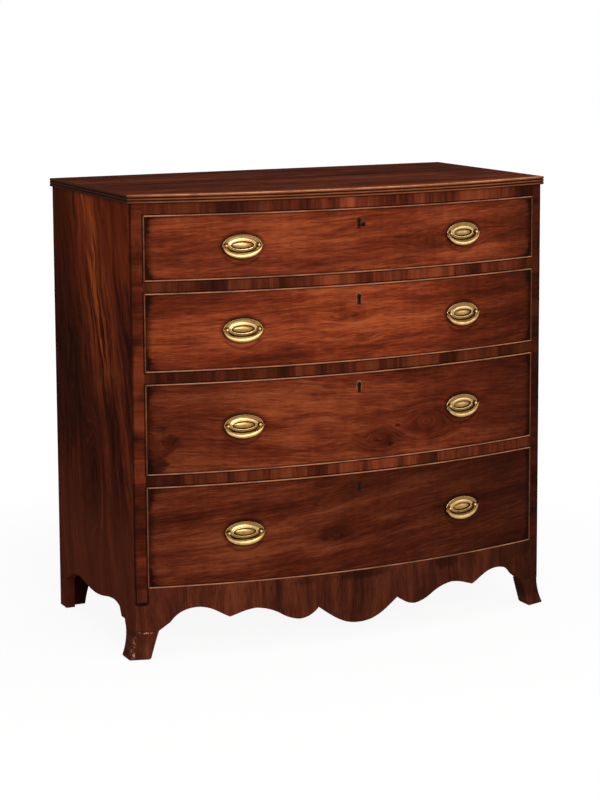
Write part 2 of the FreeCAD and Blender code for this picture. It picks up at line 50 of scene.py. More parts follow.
class Value:
    def __init__(self, graph, socket):
        self.graph, self.socket = graph, socket

    def other(self, name):
        return Value(self.graph, self.socket.node.outputs[name])

    def __add__(self, value):
        return self.graph.math("ADD", self, value)

    def __sub__(self, value):
        return self.graph.math("SUBTRACT", self, value)

    def __rsub__(self, value):
        return self.graph.math("SUBTRACT", value, self)

    def __mul__(self, value):
        return self.graph.math("MULTIPLY", self, value)

    def __truediv__(self, value):
        return self.graph.math("DIVIDE", self, value)

    def __pow__(self, value):
        return self.graph.math("POWER", self, value)

    def __abs__(self):
        return self.graph.math("ABSOLUTE", self)

    __radd__ = __add__
    __rmul__ = __mul__


class Graph:
    def __init__(self, owner):
        owner.use_nodes = True
        self.owner, self.tree = owner, owner.node_tree
        self.tree.nodes.clear()

    def add(self, kind, settings={}, inputs={}, output=0):
        node = self.tree.nodes.new(kind)
        for name, setting in settings.items():
            if name == "stops":
                self.setStops(node.color_ramp, setting)
            else:
                setattr(node, name, setting)
        for name, value in inputs.items():
            if isinstance(value, Value):
                self.tree.links.new(value.socket, node.inputs[name])
            else:
                node.inputs[name].default_value = value
        return Value(self, node.outputs[output]) if len(node.outputs) else node

    def setStops(self, ramp, stops):
        while len(ramp.elements) < len(stops):
            ramp.elements.new(1.0)
        for element, (position, color) in zip(ramp.elements, stops):
            element.position, element.color = position, (*color, 1)

    def math(self, operation, *values):
        return self.add("ShaderNodeMath", {"operation": operation}, dict(enumerate(values)))

    def largest(self, first, second):
        return self.math("MAXIMUM", first, second)

    def smallest(self, first, second):
        return self.math("MINIMUM", first, second)

    def length(self, across, up):
        return self.math("SQRT", across ** 2.0 + up ** 2.0)

    def ease(self, value, start, full, strength=1.0):
        # 0 at the start, the strength from full onwards, eased between; full may lie below the start
        return self.add("ShaderNodeMapRange", {"interpolation_type": "SMOOTHSTEP"},
                        {"Value": value, "From Min": start, "From Max": full, "To Max": strength})

    def vector(self, x, y, z):
        return self.add("ShaderNodeCombineXYZ", {}, {"X": x, "Y": y, "Z": z})

    def noise(self, x, y, z, detail=3.0, roughness=0.55):
        inputs = {"Vector": self.vector(x, y, z), "Scale": 1.0, "Detail": detail, "Roughness": roughness}
        return self.add("ShaderNodeTexNoise", {}, inputs)

    def mix(self, factor, first, second, blend="MIX"):
        return self.add("ShaderNodeMix", {"data_type": "RGBA", "blend_type": blend},
                        {0: factor, 6: asColor(first), 7: asColor(second)}, 2)

    def ramp(self, value, *stops):
        return self.add("ShaderNodeValToRGB", {"stops": stops}, {0: value})


def asColor(value):
    return value if isinstance(value, Value) else (*value, 1)


def newMaterial(name):
    graph = Graph(bpy.data.materials.new(name))
    place = graph.add("ShaderNodeTexCoord", output="Object")
    split = graph.add("ShaderNodeSeparateXYZ", {}, {0: place})
    return graph, [split, split.other("Y"), split.other("Z")]


def finishMaterial(graph, inputs):
    shader = graph.add("ShaderNodeBsdfPrincipled", {}, inputs)
    graph.add("ShaderNodeOutputMaterial", {}, {"Surface": shader})
    return graph.owner


def scaled(color, amount):
    return tuple(part * amount for part in color)


def tinted(color, amounts):
    return tuple(part * amount for part, amount in zip(color, amounts))


# The bow: one circle, seen from above, gives every curved face

bow = {"half": 0.480, "rise": 0.0694}
bow["radius"] = (bow["half"] ** 2 + bow["rise"] ** 2) / (2 * bow["rise"])
bow["apex"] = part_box("drawer_1_front")[0].y
bow["centre"] = Vector((0.0, bow["apex"] + bow["radius"], 0.0))


def bowY(x, inset=0.0):
    return bow["centre"].y - math.sqrt((bow["radius"] - inset) ** 2 - x ** 2)


def proudOf(graph, place):
    # How far a point stands forward of the bowed drawer fronts
    return graph.length(place[0], place[1] - bow["centre"].y) - bow["radius"]


# Wood. A change over the surface is given as where it starts, where it is full and, often, how strong it is

darkWood = (0.010, 0.0030, 0.0018)
polish = {"roughness": 0.42, "coat": 0.02, "coatRoughness": 0.20, "bump": 0.12, "bumpDepth": 0.0004}
axes = {"x": 0, "y": 1, "z": 2}
woodLook = {
    "contrast": (0.36, 0.65),        # the tones that come out darkest and lightest
    "warp": 0.05, "slant": 0.0,      # how far the grain wanders, and how steeply it runs
    "lines": 110.0, "broad": 15.0,   # how closely the fine lines and the broad bands lie
    "streaks": 0.45,                 # strength of the long dark streaks
    "streakEdge": (0.57, 0.70), "pores": (0.60, 0.72, 0.45),
    "knots": [], "heart": 0.03,      # (along, across, half length, half width) each; how dark the middles are
}
toneShares = {"broad": 0.34, "mottle": 0.25, "lines": 0.18, "fibres": 0.19, "ripple": 0.04}


def strands(graph, along, across, seed, fineness, detail=2.0, roughness=0.55):
    # Noise drawn out one way by how fine it is along and across
    return graph.noise(along * fineness[0], across * fineness[1], seed, detail, roughness)


def grain(graph, place, look):
    # Streaks along one axis: broad bands, mottled figure, fine lines and short pores
    along, across = place[axes[look["along"]]], place[axes[look["across"]]]
    seed, lines = look["seed"], look["lines"]
    wave = strands(graph, along, across, seed, (2.4, 5.0))
    bent = across + (wave - 0.5) * look["warp"] + along * look["slant"]
    heart = 0.0
    for x, z, wide, tall in look["knots"]:
        # A knot turns the streaks round itself
        reach = graph.length((along - x) / wide, (across - z) / tall) + (wave - 0.5) * 0.8
        near = graph.ease(reach, 1.25, 0.15)
        bent = bent + (reach * (tall * 0.7) + z - bent) * near
        heart = graph.largest(near, heart)
    layers = {
        "broad": strands(graph, along, bent, seed + 1.0, (1.7, look["broad"])),
        "mottle": strands(graph, along, bent, seed + 6.0, (9.0, 52.0), 4.0, 0.65),
        "lines": strands(graph, along, bent, seed + 2.0, (9.0, lines), 3.0, 0.65),
        "fibres": strands(graph, along, bent, seed + 3.0, (34.0, 560.0)),
        "ripple": strands(graph, along, across, seed + 4.0, (70.0, 9.0)),
    }
    tone = sum(layers[name] * share for name, share in toneShares.items()) - heart * look["heart"]
    pores = strands(graph, along, bent, seed + 5.0, (42.0, 430.0), 1.0)
    streaks = strands(graph, along, bent, seed + 7.0, (4.0, lines * 1.3))
    streaks = graph.ease(streaks, *look["streakEdge"], look["streaks"])
    return tone, graph.largest(graph.ease(pores, *look["pores"]), streaks), layers["fibres"]


def woodColor(graph, tone, pores, contrast, colors):
    dark, middle, light = colors
    color = graph.ramp(graph.ease(tone, *contrast), (0.0, dark), (0.5, middle), (1.0, light))
    return graph.mix(pores, color, scaled(dark, 0.5))    # pores and streaks at half the darkest colour


def grainedWood(name, ownLook):
    look = {**woodLook, **ownLook}
    graph, place = newMaterial(name)
    tone, pores, fibres = grain(graph, place, look)
    return graph, place, woodColor(graph, tone, pores, look["contrast"], look["colors"]), fibres


def darken(graph, color, amount, depth=1.0):
    return graph.mix(amount, color, scaled(darkWood, depth))


def finishWood(graph, color, fibres, coat=polish["coat"], roughness=polish["roughness"]):
    bump = graph.add("ShaderNodeBump", {}, {"Height": fibres, "Strength": polish["bump"],
                                            "Distance": polish["bumpDepth"]})
    return finishMaterial(graph, {"Base Color": color, "Roughness": roughness, "Specular IOR Level": 0.0,
                                  "Coat Weight": coat, "Coat Roughness": polish["coatRoughness"],
                                  "Normal": bump})


def oval(graph, across, up, size):
    return graph.length(across / size[0], up / size[1])


def smallMark(graph, place, mark):
    # A soft spot at x and z that fades by its own width and height
    spread = graph.ease(abs(place[0] - mark["x"]), *mark["wide"])
    return spread * graph.ease(abs(place[2] - mark["z"]), *mark["tall"])


blotLook = {"torn": 1.8, "edge": (1.15, 0.55)}


def blot(graph, place, spots, rough):
    # Dark marks with soft torn edges: (x, z, half width, half height, strength)
    total = 0.0
    for x, z, wide, tall, strength in spots:
        reach = oval(graph, place[0] - x, place[2] - z, (wide, tall)) + (rough - 0.5) * blotLook["torn"]
        total = graph.largest(graph.ease(reach, *blotLook["edge"], strength), total)
    return total


# Drawer fronts

handleX = 0.256    # how far from the middle each handle sits

frontLook = {
    "along": "x", "across": "z", "contrast": (0.36, 0.655), "streaks": 0.30, "heart": 0.05,
    "colors": [(0.050, 0.0080, 0.0032), (0.164, 0.0262, 0.0088), (0.330, 0.070, 0.0205)],
    "rightEndShade": (0.47, 0.60), "leftEnd": (-0.20, -0.45),
    "keyhole": {"below": 0.0265, "size": (0.0059, 0.0110), "color": (0.330, 0.150, 0.080)},
    # the veneer is on the face alone, with bare wood behind it
    "veneer": (-0.0030, -0.0012), "bare": [(0.35, (0.130, 0.058, 0.024)), (0.65, (0.240, 0.120, 0.052))],
}
# Each front's own look. tone: its tint, darker on the lower fronts, partly the veneer's own colour and partly
# painted shade for the light falling off downward. glow: a paler flame patch from one x to another, and how
# pale.
# shadeFrom: the x past which painted shade darkens the right end, where the bow turns from the light.
# darkLeft: how dark the left end is. ring: how pale the keyhole's edge is.
drawerLooks = {
    1: {"seed": 3.0, "tone": (0.95, 0.98, 1.02), "warp": 0.035, "slant": -0.05, "lines": 220.0,
        "broad": 20.0, "glow": (0.17, 0.33, 0.050), "shadeFrom": 0.30, "darkLeft": 0.10, "heart": 0.0,
        "knots": [(0.20, 0.842, 0.12, 0.030)],
        "spots": [(0.0095, 0.8835, 0.0085, 0.0050, 0.95), (0.008, 0.8820, 0.014, 0.0030, 0.5)]},
    2: {"seed": 17.0, "tone": (1.04, 1.02, 1.02), "warp": 0.030, "slant": -0.02, "lines": 210.0,
        "broad": 17.0, "glow": (-0.10, 0.11, 0.060), "shadeFrom": 0.10, "darkLeft": 0.14, "ring": 0.30,
        "knots": [(-0.018, 0.696, 0.05, 0.018), (0.0, 0.646, 0.05, 0.014)],
        "spots": [(-0.014, 0.694, 0.010, 0.003, 0.45), (0.0, 0.652, 0.012, 0.003, 0.40)]},
    3: {"seed": 29.0, "tone": (0.78, 0.80, 0.86), "warp": 0.060, "slant": 0.05, "lines": 190.0,
        "broad": 15.0, "glow": (-0.17, 0.24, 0.040), "shadeFrom": 0.20, "darkLeft": 0.34, "ring": 0.60,
        "knots": [(0.166, 0.455, 0.085, 0.050), (0.049, 0.428, 0.060, 0.032), (-0.430, 0.450, 0.030, 0.028)],
        "spots": [(0.092, 0.452, 0.007, 0.004, 0.7), (0.045, 0.424, 0.010, 0.003, 0.6),
                  (0.075, 0.414, 0.008, 0.005, 0.6), (-0.435, 0.405, 0.030, 0.020, 0.75),
                  (-0.405, 0.455, 0.022, 0.016, 0.55), (-0.425, 0.480, 0.015, 0.010, 0.4)]},
    4: {"seed": 41.0, "tone": (0.60, 0.66, 0.74), "warp": 0.045, "slant": -0.10, "lines": 200.0,
        "broad": 16.0, "glow": (-0.18, 0.16, -0.035), "shadeFrom": -0.26, "darkLeft": 0.0,
        "knots": [(-0.055, 0.232, 0.045, 0.020)],
        "spots": [(-0.082, 0.226, 0.012, 0.006, 0.35), (-0.10, 0.300, 0.004, 0.003, 0.6)]},
}
frontMarks = {
    # darkening in from the beads: how far it reaches, how much that wanders, where it is full, its strength
    "side": (0.021, 0.034, 0.003, 0.80),
    "level": (0.005, 0.008, 0.0, 0.60),
    "corner": (0.042, 0.050, 0.006, 0.80),
    "most": 0.94,
    "stain": {"size": (0.0455, 0.0285), "edge": (1.16, 0.86, 0.72)},
    "strikeAndShadow": {"size": (0.0460, 0.0410), "at": 0.97, "line": (0.10, 0.015, 0.45), "below": (-0.014, -0.030)},
}
glowLook = {"lean": 0.5, "sway": 0.16, "startSoft": (-0.03, 0.05), "endSoft": (0.06, -0.06),
            "broken": (0.30, 0.62)}


def flamePatch(graph, place, look, bottom):
    # Soft at its ends, and leaning with height
    x, y, z = place
    start, end, strength = look["glow"]
    sway = graph.noise(x * 9.0, z * 20.0, look["seed"] + 9.0, 3.0, 0.6)
    at = x + (z - bottom) * glowLook["lean"] + (sway - 0.5) * glowLook["sway"]
    patch = graph.ease(at - start, *glowLook["startSoft"]) * graph.ease(at - end, *glowLook["endSoft"])
    return patch * graph.ease(sway, *glowLook["broken"], strength)


def beadEdgeDarkening(graph, kind, distance, rough):
    reach, wander, full, strength = frontMarks[kind]
    return graph.ease(distance, (rough - 0.5) * wander + reach, full, strength)


def edgeDarkening(graph, place, low, high, rough):
    inward = high.x - abs(place[0])
    edge = graph.smallest(place[2] - low.z, high.z - place[2])
    dirt = beadEdgeDarkening(graph, "side", inward, rough) + beadEdgeDarkening(graph, "level", edge, rough)
    return graph.smallest(dirt + beadEdgeDarkening(graph, "corner", inward + edge * 0.7, rough), frontMarks["most"])


def handleMarks(graph, place, height):
    # Dirt round each plate, and the arc below it that the bail has struck, darkened further as a painted
    # shadow of the bail
    aside, up = abs(place[0]) - handleX, place[2] - height
    stain, strikeAndShadow = frontMarks["stain"], frontMarks["strikeAndShadow"]
    dirt = graph.ease(oval(graph, aside, up, stain["size"]), *stain["edge"])
    arc = graph.ease(abs(oval(graph, aside, up, strikeAndShadow["size"]) - strikeAndShadow["at"]), *strikeAndShadow["line"])
    return graph.largest(dirt, arc * graph.ease(up, *strikeAndShadow["below"]))


def drawerMaterial(number):
    look = {**woodLook, **frontLook, **drawerLooks[number]}
    graph, place = newMaterial("drawer_%d_veneer" % number)
    x, y, z = place
    low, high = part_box("drawer_%d_front" % number)
    plateLow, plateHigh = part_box("drawer_%d_handle_plates" % number)
    tone, pores, fibres = grain(graph, place, look)
    tone = tone + flamePatch(graph, place, look, low.z)
    # the front's tint; on the lower fronts it is partly painted shade, for the light falling off downward
    colors = [tinted(color, look["tone"]) for color in look["colors"]]
    color = woodColor(graph, tone, pores, look["contrast"], colors)
    rough = graph.noise(x * 60.0, y * 20.0, z * 130.0, 3.0, 0.65)
    # painted shade on the right end, where the bow turns from the light; the left end darkens by darkLeft
    right = graph.ease(x, look["shadeFrom"], *look["rightEndShade"])
    color = darken(graph, color, right + graph.ease(x, *look["leftEnd"], look["darkLeft"]))
    color = darken(graph, color, edgeDarkening(graph, place, low, high, rough))
    color = darken(graph, color, handleMarks(graph, place, (plateLow.z + plateHigh.z) / 2))
    color = darken(graph, color, blot(graph, place, look["spots"], rough), 0.8)
    if "ring" in look:
        keyhole = look["keyhole"]
        rim = abs(oval(graph, x, z - (high.z - keyhole["below"]), keyhole["size"]) - 1.0)
        color = graph.mix(graph.ease(rim, 0.20, 0.04, look["ring"]), color, keyhole["color"])
    face = graph.ease(proudOf(graph, place), *look["veneer"])
    return finishWood(graph, graph.mix(face, graph.ramp(tone, *look["bare"]), color), fibres)


# Crossbanding: short pieces of veneer laid across a rail or stile, each with its own depth of colour

bandLook = {
    "colors": [(0.0, (0.026, 0.0056, 0.0028)), (0.45, (0.088, 0.0172, 0.0066)),
               (1.0, (0.205, 0.0425, 0.0145))],
    "contrast": (0.34, 0.66),
    "pieces": 21.0, "uneven": 3.0,    # pieces in a metre, and how much their widths differ
    "shares": {"broad": 0.28, "patch": 0.32, "narrow": 0.16, "fibres": 0.13, "piece": 0.11},
}
gapLine = (0.0030, 0.0010, 0.8)
railLook = {"tint": (1.02, 0.98, 0.98), "lift": (1.50, 1.46, 1.62), "frieze": (0.86, 0.93),
            "middleRail": 0.586, "middleDark": (0.040, 0.020, 0.38),
            "leftDark": (-0.02, -0.40, 0.50), "rightShade": (0.26, 0.46, 0.46)}
stileLook = {"tint": (0.78, 0.66, 0.64), "rightShade": (0.0, 0.1, 0.62), "arris": (0.0050, 0.0010, 0.75),
             "smudge": (0.48, 0.68, 0.5)}


def crossband(name, run, rise, seed, tint):
    graph, place = newMaterial(name)
    along, across = place[axes[run]], place[axes[rise]]
    if run == "x":
        row = graph.math("FLOOR", place[2] / 0.1) * 7.3    # each rail has its own pieces
    else:
        row = graph.math("SIGN", place[0]) * 5.1           # and so has each stile
    layers = {
        "broad": strands(graph, along, across, row + seed, (9.0, 1.5), 1.0),
        "patch": strands(graph, along, across, row + (seed + 3.0), (34.0, 5.0), 2.0, 0.5),
        "narrow": strands(graph, along, across, row + (seed + 5.0), (130.0, 10.0)),
        "fibres": strands(graph, along, across, row + (seed + 6.0), (560.0, 40.0)),
    }
    cell = graph.math("FLOOR", along * bandLook["pieces"] + (layers["broad"] - 0.5) * bandLook["uneven"])
    layers["piece"] = graph.add("ShaderNodeTexWhiteNoise", {"noise_dimensions": "3D"},
                                {"Vector": graph.vector(cell, row, seed)})
    tone = sum(layers[name] * share for name, share in bandLook["shares"].items())
    stops = [(at, tinted(color, tint)) for at, color in bandLook["colors"]]
    color = graph.ramp(graph.ease(tone, *bandLook["contrast"]), *stops)
    return graph, place, color, layers["fibres"]


def gapShade(graph, place, upright):
    # Dark lines along the edges of the drawer openings
    x, y, z = place
    shade = 0.0
    for number in drawerLooks:
        low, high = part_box("drawer_%d_cock_beads" % number)
        if upright:
            beyond = abs(z - (low.z + high.z) / 2) - (high.z - low.z) / 2
            reach = graph.largest(abs(abs(x) - high.x), beyond)
        else:
            reach = graph.smallest(abs(z - low.z), abs(z - high.z))
        shade = graph.largest(graph.ease(reach, *gapLine), shade)
    return shade


def railMaterial():
    graph, place, color, fibres = crossband("rail_crossbanding", "x", "z", 5.0, railLook["tint"])
    x, y, z = place
    # The frieze is palest near its middle, and the middle rail is the darkest
    lift = graph.ease(z, *railLook["frieze"]) * (0.75 - graph.ease(abs(x + 0.05), 0.05, 0.30, 0.62))
    color = graph.mix(lift, color, railLook["lift"], "MULTIPLY")
    color = darken(graph, color, graph.ease(abs(z - railLook["middleRail"]), *railLook["middleDark"]))
    color = darken(graph, color, graph.ease(x, *railLook["leftDark"]))
    # painted shade toward the right end, where the bow turns from the light
    color = darken(graph, color, graph.ease(x, *railLook["rightShade"]))
    return finishWood(graph, darken(graph, color, gapShade(graph, place, False), 0.6), fibres)


def stileMaterial():
    graph, place, color, fibres = crossband("stile_crossbanding", "z", "x", 9.0, stileLook["tint"])
    x, y, z = place
    # painted shade on the right stile
    color = darken(graph, color, graph.ease(x, *stileLook["rightShade"]))
    color = darken(graph, color, graph.ease(bow["half"] - abs(x), *stileLook["arris"]))
    smudge = graph.noise(z * 16.0, x * 30.0, 4.0)
    color = darken(graph, color, graph.ease(smudge, *stileLook["smudge"]))
    return finishWood(graph, darken(graph, color, gapShade(graph, place, True), 0.6), fibres)


# Apron, sides and bare boards

apronLook = {
    "along": "z", "across": "x", "seed": 13.0, "lines": 85.0, "broad": 13.0,
    "colors": [(0.030, 0.0068, 0.0034), (0.080, 0.0170, 0.0078), (0.150, 0.034, 0.0130)],
    "spots": [(0.010, 0.141, 0.062, 0.013, 0.6), (0.215, 0.141, 0.036, 0.016, 0.6),
              (0.435, 0.135, 0.026, 0.020, 0.5), (-0.464, 0.117, 0.015, 0.005, 0.9),
              (-0.130, 0.140, 0.030, 0.008, 0.35)],
    "middleDark": (-0.30, 0.0, 0.32), "rightShade": (0.30, 0.48, 0.4),
    # a let-in patch with dark joints: x, z, half width, half height
    "patch": (-0.4665, 0.134, 0.0115, 0.0165), "joint": (0.0030, 0.0008, 0.85),
}
sideLook = {
    "along": "z", "across": "y", "seed": 23.0, "lines": 85.0, "broad": 15.0, "warp": 0.12, "slant": -0.20,
    "streaks": 0.6,
    "colors": [(0.018, 0.0036, 0.0020), (0.080, 0.0135, 0.0056), (0.190, 0.0330, 0.0105)],
    "knots": [(0.585, 0.150, 0.10, 0.030), (0.480, 0.165, 0.09, 0.026), (0.330, 0.030, 0.16, 0.055)],
    "upper": (0.62, 0.90, 0.55), "upperColor": (0.185, 0.0260, 0.0076),
    "lower": (0.42, 0.16, 0.55), "lowerColor": (0.116, 0.0245, 0.0108),
    "flame": (0.42, 0.62), "flameColor": (0.400, 0.080, 0.0180), "between": (0.46, 0.30, 0.60),
    "flameLean": 0.27, "flameMiddle": -0.200, "flameWidth": (0.085, 0.01, 0.85),
    "rear": (-0.15, 0.00, 0.62), "arris": (-0.1925, -0.1965, 0.7), "coat": 0.01,
}


def apronMaterial():
    graph, place, color, fibres = grainedWood("apron_veneer", apronLook)
    x, y, z = place
    rough = graph.noise(x * 90.0, 0.0, z * 30.0, 3.0, 0.6)
    color = darken(graph, color, blot(graph, place, apronLook["spots"], rough))
    color = darken(graph, color, graph.ease(x, *apronLook["middleDark"]))
    patchX, patchZ, wide, tall = apronLook["patch"]
    joint = graph.largest(abs(x - patchX) - wide, abs(z - patchZ) - tall)
    color = darken(graph, color, graph.ease(abs(joint), *apronLook["joint"]))
    # painted shade toward the right end
    return finishWood(graph, darken(graph, color, graph.ease(x, *apronLook["rightShade"])), fibres)


def sideMaterial():
    look = sideLook
    graph, place, color, fibres = grainedWood("side_mahogany", look)
    x, y, z = place
    # Flame figure along a slanting band, warmest near the top, with darker wood behind it
    wander = graph.noise(z * 7.0, y * 9.0, 2.0)
    across = y - z * look["flameLean"]
    flame = graph.noise(z * 5.0, across * 44.0 + wander * 4.0, 7.0, 3.0, 0.6)
    broken = graph.noise(z * 9.0, across * 18.0, 8.0, 2.0)
    band = graph.ease(abs(across - look["flameMiddle"] + (wander - 0.5) * 0.06), *look["flameWidth"])
    warm = graph.ease(z, 0.42, 0.72) * (band + 0.15) * graph.ease(broken, 0.30, 0.56)
    color = graph.mix(graph.ease(z, *look["upper"]), color, look["upperColor"])
    color = graph.mix(graph.ease(flame, *look["flame"]) * warm, color, look["flameColor"])
    color = darken(graph, color, graph.ease(flame, *look["between"]))
    color = darken(graph, color, graph.ease(z, 0.25, 0.5) * graph.ease(across, *look["rear"]))
    color = graph.mix(graph.ease(z, *look["lower"]), color, look["lowerColor"])
    return finishWood(graph, darken(graph, color, graph.ease(y, *look["arris"])), fibres, look["coat"])


def bareWood(name, along, across, seed, middle):
    look = {"along": along, "across": across, "seed": seed, "lines": 90.0,
            "colors": [scaled(middle, 0.62), middle, scaled(middle, 1.25)]}
    graph, place, color, fibres = grainedWood(name, look)
    return finishWood(graph, color, fibres, 0.0, 0.62)


woods = {
    "rail": railMaterial(), "stile": stileMaterial(), "apron": apronMaterial(), "side": sideMaterial(),
    "oakAlong": bareWood("oak_lengthways", "y", "z", 51.0, (0.38, 0.215, 0.096)),
    "oakAcross": bareWood("oak_crossways", "x", "y", 53.0, (0.40, 0.230, 0.105)),
    "oakBack": bareWood("oak_back", "x", "z", 55.0, (0.37, 0.205, 0.092)),
    "pineAcross": bareWood("pine_crossways", "x", "y", 57.0, (0.31, 0.155, 0.064)),
    "pineUpright": bareWood("pine_upright", "z", "x", 59.0, (0.29, 0.135, 0.052)),
    "stained": bareWood("stained_bracket", "z", "x", 61.0, (0.030, 0.0090, 0.0050)),
}
for number in drawerLooks:
    woods["drawer_%d" % number] = drawerMaterial(number)
print("woods of the fixed boards and drawers:", len(woods))


# Locks

lockLook = {"case": [(0.35, (0.36, 0.22, 0.085)), (0.70, (0.16, 0.09, 0.032))],
            "keyholeShade": (0.020, 0.012, 0.007), "faceFrom": (-0.010, -0.006),
            "roughness": 0.35, "cloudRoughness": 0.2}


def lockMaterial():
    # Painted shade on the lock's face, where it shows through the keyhole; plain brass inside the drawer
    graph, place = newMaterial("lock_brass")
    cloud = graph.noise(*[part * 120.0 for part in place])
    face = graph.ease(proudOf(graph, place), *lockLook["faceFrom"])
    color = graph.mix(face, graph.ramp(cloud, *lockLook["case"]), lockLook["keyholeShade"])
    roughness = cloud * lockLook["cloudRoughness"] + lockLook["roughness"]
    return finishMaterial(graph, {"Base Color": color, "Metallic": 1.0, "Roughness": roughness})


# Materials of the CAD nodes that stay

nodeLooks = {
    "left_side": ("side", "side_mahogany"), "right_side": ("side", "side_mahogany"),
    "stiles": ("stile", "crossband_veneer"), "frieze_rail": ("rail", "crossband_veneer"),
    "drawer_rails": ("rail", "crossband_veneer"), "apron": ("apron", "apron_veneer"),
    "dustboards": ("pineAcross", "carcase_pine"),
    "drawer_runners": ("oakAlong", "lining_wood"), "drawer_stops": ("oakAcross", "lining_wood"),
    "bottom_board": ("pineAcross", "carcase_pine"), "back_boards": ("pineUpright", "carcase_pine"),
    "rear_foot_brackets": ("stained", "carcase_pine"), "glue_blocks": ("stained", "carcase_pine"),
}
for number in drawerLooks:
    name = "drawer_%d_" % number
    nodeLooks[name + "front"] = ("drawer_%d" % number, "drawer_veneer")
    nodeLooks[name + "left_side"] = nodeLooks[name + "right_side"] = ("oakAlong", "lining_wood")
    nodeLooks[name + "back"] = ("oakBack", "lining_wood")
    nodeLooks[name + "bottom"] = ("oakAcross", "lining_wood")


def dress(piece, material):
    piece.data.materials.clear()
    piece.data.materials.append(material)


for name, (wood, slot) in nodeLooks.items():
    dress(nodes[name], woods[wood])
lockBrass = lockMaterial()
for number in drawerLooks:
    dress(nodes["drawer_%d_lock" % number], lockBrass)
print("nodes dressed:", len(nodeLooks) + len(drawerLooks))


# Mesh helpers

meshLook = {"merge": 1e-6, "smoothAngle": 38.0}    # closer vertices merge, and flatter edges shade smooth


def newData(name, mesh):
    data = bpy.data.meshes.new(name)
    mesh.to_mesh(data)
    mesh.free()
    return data


def newObject(name, data):
    item = bpy.data.objects.new(name, data)
    bpy.context.scene.collection.objects.link(item)
    return item


def newPiece(name, mesh, material, body, replaced):
    bmesh.ops.remove_doubles(mesh, verts=mesh.verts, dist=meshLook["merge"])
    bmesh.ops.recalc_face_normals(mesh, faces=mesh.faces)
    piece = newObject(name, newData(name, mesh))
    piece.data.shade_smooth()
    piece.data.set_sharp_from_angle(angle=math.radians(meshLook["smoothAngle"]))
    dress(piece, material)
    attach(piece, body)
    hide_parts(replaced)
    return piece


def sweep(mesh, sections, segments):
    # A closed bar through a row of round sections, each given as the matrix of a unit circle
    first = bmesh.ops.create_circle(mesh, segments=segments, radius=1.0, cap_ends=False)["verts"]
    edges = list({edge for vert in first for edge in vert.link_edges})
    startEdges, verts, place = edges, first, Matrix.Identity(4)
    for number, section in enumerate(sections):
        if number:
            grown = bmesh.ops.extrude_edge_only(mesh, edges=edges)["geom"]
            verts = [part for part in grown if isinstance(part, bmesh.types.BMVert)]
            edges = [part for part in grown if isinstance(part, bmesh.types.BMEdge)
                     and all(vert in set(verts) for vert in part.verts)]
        bmesh.ops.transform(mesh, matrix=section @ place.inverted(), verts=verts)
        place = section
    for loop in (startEdges, edges):
        bmesh.ops.edgeloop_fill(mesh, edges=loop)


def barSection(centre, along, wide, tall, widthDirection):
    # Matrix that lays a unit circle across a bar: wide one way and tall the other
    along = along.normalized()
    side = (widthDirection - along * widthDirection.dot(along)).normalized()
    up = along.cross(side)
    turn = Matrix((side, up, along)).transposed().to_4x4()
    return Matrix.Translation(centre) @ turn @ Matrix.Diagonal((wide, tall, 1.0, 1.0))


def block(mesh, low, high):
    centre, size = (low + high) / 2, high - low
    place = Matrix.Translation(centre) @ Matrix.Diagonal((*size, 1.0))
    return bmesh.ops.create_cube(mesh, size=1.0, matrix=place)["verts"]


def bevelEdges(mesh, edges, size, segments, clamp=False):
    bmesh.ops.bevel(mesh, geom=edges, offset=size, segments=segments, profile=0.5, affect="EDGES",
                    material=-1, clamp_overlap=clamp)


# Top board: a bowed slab with reeds swept round its front and ends

topBoard = {"reeds": 3, "reedDepth": 0.0019, "steps": 56, "reedSides": 16, "sharpestMitre": 0.3}
topLook = {
    "along": "x", "across": "y", "seed": 31.0, "lines": 45.0, "broad": 12.0,
    "colors": [(0.026, 0.0058, 0.0032), (0.088, 0.0180, 0.0080), (0.185, 0.040, 0.0140)],
    "front": (-0.040, 0.002, 0.62), "frontSheenColor": (0.270, 0.0580, 0.0175), "rearDark": (0.02, 0.27, 0.25),
    "coat": 0.01,
}
reedLook = {
    "along": "x", "across": "z", "seed": 37.0, "lines": 60.0, "broad": 9.0,
    "colors": [(0.060, 0.0135, 0.0055), (0.120, 0.0290, 0.0110), (0.190, 0.050, 0.0180)],
    "front": (-0.190, -0.215), "endDark": 0.55, "groove": (0.0017, 0.0003, 0.94),
    # painted highlights along the crests, brighter still on the upper arris
    "crestHighlight": (0.0018, 0.0028), "crestHighlightColor": (0.380, 0.130, 0.050),
    "arris": (-0.0021, -0.0010), "arrisHighlightColor": (0.680, 0.310, 0.135), "coat": 0.03,
}


def topMaterial():
    graph, place, color, fibres = grainedWood("top_mahogany", topLook)
    # painted reflection: paler near the front edge
    color = graph.mix(graph.ease(proudOf(graph, place), *topLook["front"]), color, topLook["frontSheenColor"])
    color = darken(graph, color, graph.ease(place[1], *topLook["rearDark"]))
    return finishWood(graph, color, fibres, topLook["coat"])


